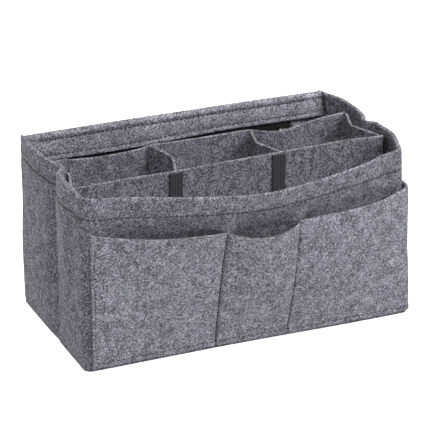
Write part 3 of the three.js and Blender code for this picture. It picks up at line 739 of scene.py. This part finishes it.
def divider_front_strip(name, x):
    """On the front of the divider's front panel."""
    def top(a):
        return divider_top(a) - STRIP_BELOW

    surface = upright(lambda a, z: np.full_like(a, DIV_FRONT - 0.2 - STRIP_THIN / 2))
    return strip(name, surface, x - STRIP / 2, constant(FLOOR_TOP), top, 2.0, STRIP_THIN)


def wall_strip(name, middle, low, high, thickness):
    """On the inner face of the body's walls, stepping up over the hem where the strip is that tall."""
    def surface(run, z):
        over_hem = (HEM_THICK - FELT) * smoothstep(z, HEM_EDGE - 3.5, HEM_EDGE - 0.3)
        return wall_point(run, z, FELT + 0.25 + thickness / 2 + over_hem), -wall_normal(run, z)

    return strip(name, surface, middle - STRIP / 2, constant(low), constant(high), 1.2, thickness)


# Materials

def colour(code):
    """A colour as seen on screen, as the linear value that the renderer takes."""
    parts = [int(code[i:i + 2], 16) / 255 for i in (0, 2, 4)]
    return [c / 12.92 if c <= 0.04045 else ((c + 0.055) / 1.055) ** 2.4 for c in parts] + [1.0]


def in_ten_mm(count):
    """So many grains in ten millimetres, as the scale that a noise takes."""
    return count / (10 * MM)


def bands(pitch):
    """Bands so many millimetres apart, as the scale that a wave takes."""
    return math.pi / (10 * pitch * MM)


def join(tree, node, inputs):
    """Each input of a node gets a value, or the output that it is joined to."""
    for key, value in inputs.items():
        if isinstance(value, bpy.types.NodeSocket):
            tree.links.new(value, node.inputs[key])
        else:
            node.inputs[key].default_value = value


def add(tree, kind, inputs=None, **settings):
    """A node with its settings and inputs."""
    node = tree.nodes.new(kind)
    for key, value in settings.items():
        setattr(node, key, value)
    join(tree, node, inputs or {})
    return node


def own_place(tree):
    return add(tree, "ShaderNodeTexCoord").outputs["Object"]


def mix(tree, share, dark, light):
    """A colour between two."""
    tones = {"Factor": share, 6: colour(dark), 7: colour(light)}
    return add(tree, "ShaderNodeMix", tones, data_type="RGBA").outputs[2]


def raised(tree, height, strength, depth):
    """A surface raised by so many millimetres."""
    bump = {"Height": height, "Strength": strength, "Distance": depth * MM}
    return add(tree, "ShaderNodeBump", bump).outputs[0]


def new_material(name):
    material = bpy.data.materials.new(name)
    material.use_nodes = True
    tree = material.node_tree
    tree.nodes.clear()
    shader = add(tree, "ShaderNodeBsdfPrincipled")
    add(tree, "ShaderNodeOutputMaterial", {"Surface": shader.outputs[0]})
    return material, tree, shader


def melange_felt(name, dark, light):
    """Polyester and wool felt: dark and light fibres pressed together, about a millimetre across and laid a
    little more one way than the other, in clouds of some seven millimetres."""
    material, tree, shader = new_material(name)
    place = own_place(tree)
    laid = add(
        tree, "ShaderNodeMapping",
        {"Vector": place, "Rotation": (0, math.radians(-45), 0), "Scale": (1.25, 1.8, 0.9)},
        vector_type="TEXTURE",
    ).outputs[0]
    mixed = 0.0
    for vector, grains, weight, detail in ((laid, 9, 0.6, 3), (laid, 20, 0.5, 2), (place, 1.5, 0.18, 2)):
        noise = add(
            tree, "ShaderNodeTexNoise",
            {"Vector": vector, "Scale": in_ten_mm(grains), "Detail": detail, "Roughness": 0.6},
        ).outputs["Fac"]
        mixed = add(
            tree, "ShaderNodeMath", {0: noise, 1: weight, 2: mixed}, operation="MULTIPLY_ADD",
        ).outputs[0]
    ramp = add(tree, "ShaderNodeMapRange", {"Value": mixed, "From Min": 0.545, "From Max": 0.735})
    share = add(tree, "ShaderNodeMath", {0: ramp.outputs[0], 1: 1.6}, operation="POWER")
    join(tree, shader, {
        "Base Color": mix(tree, share.outputs[0], dark, light),
        "Normal": raised(tree, mixed, 1.0, 1.5),
        "Roughness": 0.95,
        "Specular IOR Level": 0.15,
        "Sheen Weight": 0.1,
        "Sheen Roughness": 0.5,
    })
    return material


def woven(name, dark, light, rows, ribs, rough):
    """Tape woven on a narrow loom: upright rows crossed by ribs, so many millimetres apart."""
    material, tree, shader = new_material(name)
    place = own_place(tree)
    waves = [
        add(
            tree, "ShaderNodeTexWave",
            {"Vector": place, "Scale": bands(pitch), "Distortion": 0.6, "Detail": 1}, bands_direction=axis,
        ).outputs["Fac"]
        for axis, pitch in (("X", rows), ("Z", ribs))
    ]
    weave = add(tree, "ShaderNodeMath", {0: waves[0], 1: waves[1]}, operation="MULTIPLY").outputs[0]
    fluff = add(
        tree, "ShaderNodeTexNoise", {"Vector": place, "Scale": in_ten_mm(9), "Detail": 2},
    ).outputs["Fac"]
    both = add(tree, "ShaderNodeMath", {0: fluff, 1: 0.5, 2: weave}, operation="MULTIPLY_ADD").outputs[0]
    join(tree, shader, {
        "Base Color": mix(tree, both, dark, light),
        "Normal": raised(tree, both, 0.6, 0.4),
        "Roughness": rough,
        "Specular IOR Level": 0.25,
    })
    return material


def plain(name, code, roughness, metallic=0.0, grain=0.0):
    """A smooth finish with a faint unevenness in how it shines."""
    material, tree, shader = new_material(name)
    noise = add(
        tree, "ShaderNodeTexNoise", {"Vector": own_place(tree), "Scale": in_ten_mm(4.5), "Detail": 2},
    ).outputs["Fac"]
    shine = add(
        tree, "ShaderNodeMapRange",
        {"Value": noise, "To Min": roughness - 0.06, "To Max": roughness + 0.08},
    ).outputs[0]
    join(tree, shader, {"Base Color": colour(code), "Metallic": metallic, "Roughness": shine})
    if grain:
        join(tree, shader, {"Normal": raised(tree, noise, grain, 0.3)})
    return material


# Grey felt of the walls, base and divider, and a lighter copy of it for the pocket sheet and the back wall:
# painted light, which makes these pieces brighter than the rest
FELT_CLOTH = melange_felt("grey_melange_felt", "3c3a43", "afaeb9")
PAINTED_LIGHT_CLOTH = melange_felt("grey_melange_felt_painted_lighter", "4c4a53", "c0bfca")
# Hook and loop tape in upright rows, and the zip's plainer polyester tape
HOOK_TAPE = woven("black_hook_and_loop_tape", "1b1b1e", "555559", rows=2.0, ribs=0.8, rough=0.9)
ZIP_CLOTH = woven("black_zip_tape", "0b0b0c", "222224", rows=2.2, ribs=2.2, rough=0.8)
# The zip's coil, its plated metal, and sewing thread; a darker copy of the thread adds painted shade of the
# stitched grooves
NYLON = plain("black_nylon_coil", "141415", 0.38)
NICKEL = plain("polished_nickel", "c4c3c0", 0.22, metallic=1.0)
THREAD = plain("grey_polyester_thread", "3a3941", 0.7, grain=0.3)
SHADE_PAINTED_THREAD = plain("polyester_thread_painted_shade", "222126", 0.7, grain=0.3)


# Assembly

def put(obj, material, body, slot, *nodes):
    obj.data.materials.append(material)
    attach(obj, body)
    if nodes:
        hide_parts(*nodes)
    return obj


def shell():
    wrap = put(front_wrap(), FELT_CLOTH, "shell", "felt", "front_wrap")
    # The back wall is in the lighter copy of the felt: painted light
    back = put(back_panel(), PAINTED_LIGHT_CLOTH, "shell", "felt", "back_panel")
    base = put(base_panel(), FELT_CLOTH, "shell", "felt", "base_panel")
    # The pocket sheet is in the lighter copy of the felt: painted light
    pocket = put(front_pocket(), PAINTED_LIGHT_CLOTH, "shell", "felt", "front_pocket_panel")
    lining = put(zip_lining(), FELT_CLOTH, "shell", "felt", "zip_pocket_lining")


def sew(name, point, normal, low, high, thread=THREAD, **form):
    put(stitch_line(name, point, normal, low, high, **form), thread, "shell", "felt")


def sew_pocket(name, run, low, high, thread, radius):
    """Close stitches up the pocket sheet."""
    sew(
        name, lambda z: pocket_middle(run, z, FELT / 2), lambda z: wall_normal(run, z), low, high, thread,
        pitch=3.0, length=2.9, radius=radius,
    )


def wall_stitches():
    for side, depth, sign, end in (("outside", 0.35, 1, 8), ("inside", HEM_THICK - 0.25, -1, 12)):
        sew(
            f"hem_stitches_{side}", lambda s: wall_point(s, HEM_STITCH, depth),
            lambda s: sign * wall_normal(s, HEM_STITCH), end, RUN - end,
        )
    # The first seam's thread is the darker copy: painted shade of its deep groove
    for n, (seam, thread) in enumerate(zip(POCKET_SEAMS[1:3], (SHADE_PAINTED_THREAD, THREAD))):
        sew_pocket(f"pocket_seam_stitches_{n + 1}", seam, 5, 101, thread, 0.6)
    sew(
        "pocket_foot_stitches", lambda s: pocket_middle(s, FOOT_STITCH, FELT / 2),
        lambda s: wall_normal(s, FOOT_STITCH), POCKET_SEAMS[0] + 3, POCKET_SEAMS[3] - 3,
    )
    # The left edge's thread is the darker copy: painted shade of the gap beside the sheet's edge
    for side, edge, thread in zip(("left", "right"), POCKET_EDGES, (SHADE_PAINTED_THREAD, THREAD)):
        sew_pocket(f"pocket_edge_stitches_{side}", edge, 7, 98, thread, 0.5)
    outer, inner = run_at_left(59), run_at_left(55)
    for n, run in enumerate((outer, inner, RUN - inner, RUN - outer)):
        sew(
            f"corner_seam_stitches_{n + 1}",
            lambda z: wall_point(run, z, np.where(z > HEM_EDGE - 1, HEM_THICK - 0.1, FELT)),
            lambda z: -wall_normal(run, z), 20, HEIGHT - 4,
        )


def back_stitches():
    def forward(x):
        return facing(x, 0, -1, 0)

    def on_hem(x, line):
        y = LAYER_FRONT + 0.45 + back_uneven(x, line) + back_lean(x, line)
        return np.stack([x + back_corner(x, HALF_D, line), y, line + back_rise(x, line)], axis=-1)

    def on_lining(x):
        return np.stack([x, np.full_like(x, LAYER_FRONT + 0.1), np.full_like(x, ZIP_STITCH)], axis=-1)

    # The back hem's stitches are in the darker thread: painted shade of their grooves
    for name, line in (("hem_stitches_back", HEM_STITCH), ("rim_stitches_back", RIM_STITCH)):
        sew(name, lambda x: on_hem(x, line), forward, -116, 112, SHADE_PAINTED_THREAD)
    sew("zip_stitches_lower", on_lining, forward, -100, 100)


def zip_parts():
    for side, sign, half in (("upper", 1, ZIP_HALF), ("lower", -1, ZIP_HALF + TAPE_PAST)):
        tape = put(zip_tape(side, sign, half), ZIP_CLOTH, "shell", "zip_tape", f"zip_tape_{side}")
        put(zip_coil(side, sign), NYLON, "shell", "zip_teeth", f"zip_teeth_{side}")
    for node in ("zip_slider", "zip_pull", "zip_top_stop_upper", "zip_top_stop_lower", "zip_bottom_stop"):
        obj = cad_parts[node]
        obj.data.materials.clear()
        obj.data.materials.append(NICKEL)
        soft = obj.modifiers.new("worn_edges", "BEVEL")
        soft.width = 0.25 * MM
        soft.segments = 3
        soft.limit_method = "ANGLE"
        soft.harden_normals = True


def strips():
    for side, sign, front_x, side_run in (
        ("left", -1, -CROSS_X - 1.5, run_at_left(-20)),
        ("right", 1, CROSS_X - 2.3, RUN - run_at_left(-26)),
    ):
        front = divider_front_strip(f"hook_tape_front_{side}", front_x)
        end = divider_end_strip(f"hook_tape_end_{side}", sign)
        side_loop = wall_strip(
            f"loop_tape_side_{side}", side_run, SIDE_STRIP_FOOT, SIDE_STRIP_TOP, STRIP_THICK,
        )
        front_loop = wall_strip(
            f"loop_tape_front_{side}", run_at_front(sign * CROSS_X),
            FRONT_LOOP_FOOT, FRONT_LOOP_TOP, STRIP_THIN,
        )
        for obj, body, node, length in (
            (front, "divider_front", "divider_front_strip", DIV_TOP - STRIP_BELOW - FLOOR_TOP),
            (end, f"{side}_end_front", "divider_end_strip", DIV_TOP - STRIP_BELOW - SIDE_STRIP_FOOT),
            (side_loop, "shell", "side_loop_strip", SIDE_STRIP_TOP - SIDE_STRIP_FOOT),
            (front_loop, "shell", "front_loop_strip", FRONT_LOOP_TOP - FRONT_LOOP_FOOT),
        ):
            put(obj, HOOK_TAPE, body, "hook_loop", f"{node}_{side}")


def divider():
    back = divider_panel("divider_back_felt", back_line, back_panel_top, DIVIDER_BACK_SEED)
    put(back, FELT_CLOTH, "divider", "divider_felt", "divider_back_panel")
    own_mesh(back)
    front = divider_panel(
        "divider_front_felt", lambda x, z: front_line(x), divider_top, DIVIDER_FRONT_SEED,
    )
    put(front, FELT_CLOTH, "divider_front", "divider_felt", "divider_front_panel")
    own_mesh(front)
    for sign, side in ((-1, "left"), (1, "right")):
        for kind, x in (("end", END_X), ("cross", CROSS_X)):
            wall = divider_wall(f"{side}_{kind}_wall_felt", sign * x, DIVIDER_WALL_SEED + sign)
            wall.data.materials.append(FELT_CLOTH)
            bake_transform(wall)
            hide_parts(f"{side}_{kind}_wall_rear", f"{side}_{kind}_wall_front")


shell()
wall_stitches()
back_stitches()
zip_parts()
strips()
divider()


# Stage, in metres

def floor():
    """Paper that looks white in the picture and grey to the light that it throws back."""
    half, drop = 3, 0.0004
    mesh = bpy.data.meshes.new("studio_floor")
    corners = [(x * half, y * half, -drop) for x, y in ((-1, -1), (1, -1), (1, 1), (-1, 1))]
    mesh.from_pydata(corners, [], [(0, 1, 2, 3)])
    obj = bpy.data.objects.new("studio_floor", mesh)
    bpy.context.scene.collection.objects.link(obj)
    material, tree, shader = new_material("white_paper_sweep")
    seen = add(tree, "ShaderNodeLightPath").outputs["Is Camera Ray"]
    glow = add(tree, "ShaderNodeMapRange", {"Value": seen, "To Min": 0.54, "To Max": 0.75})
    join(tree, shader, {
        "Base Color": mix(tree, seen, "8c8c8c", "f4f4f4"),
        "Roughness": 0.9,
        "Emission Color": (1, 1, 1, 1),
        "Emission Strength": glow.outputs[0],
    })
    mesh.materials.append(material)


def sky():
    """White behind the part, and almost dark as a light."""
    world = bpy.data.worlds.new("studio")
    bpy.context.scene.world = world
    world.use_nodes = True
    tree = world.node_tree
    tree.nodes.clear()
    seen = add(tree, "ShaderNodeLightPath").outputs["Is Camera Ray"]
    glow = add(tree, "ShaderNodeMapRange", {"Value": seen, "To Min": 0.03, "To Max": 1.0})
    white = add(tree, "ShaderNodeBackground", {"Color": (1, 1, 1, 1), "Strength": glow.outputs[0]})
    add(tree, "ShaderNodeOutputWorld", {"Surface": white.outputs[0]})


def lamps():
    middle = Vector((0, 0, 0.06))
    for name, place, size, power in (
        ("key_softbox", (0.75, -1.1, 1.15), 0.8, 20.5),
        ("front_softbox", (-0.6, -1.0, 1.5), 0.8, 16.0),
        ("left_card", (-0.45, 1.3, 0.1), 0.5, 19.0),
        ("top_softbox", (0.45, 0.2, 1.6), 1.0, 20.5),
    ):
        data = bpy.data.lights.new(name, "AREA")
        data.energy = power
        data.size = size
        lamp = bpy.data.objects.new(name, data)
        lamp.location = place
        lamp.rotation_euler = (middle - Vector(place)).to_track_quat("-Z", "Y").to_euler()
        bpy.context.scene.collection.objects.link(lamp)


def camera():
    azimuth, elevation, distance = math.radians(-24.2), math.radians(21.8), 1.349
    target = Vector((-0.0001, 0.0, 0.0745))
    level = math.cos(elevation)
    back = Vector((math.sin(azimuth) * level, -math.cos(azimuth) * level, math.sin(elevation)))
    data = bpy.data.cameras.new("camera")
    data.sensor_width = 36.0
    data.lens = 150.7
    data.clip_end = 20.0
    eye = bpy.data.objects.new("camera", data)
    eye.location = target + back * distance
    eye.rotation_euler = (-back).to_track_quat("-Z", "Y").to_euler()
    bpy.context.scene.collection.objects.link(eye)
    bpy.context.scene.camera = eye


floor()
sky()
lamps()
camera()
bpy.context.scene.view_settings.view_transform = "Standard"
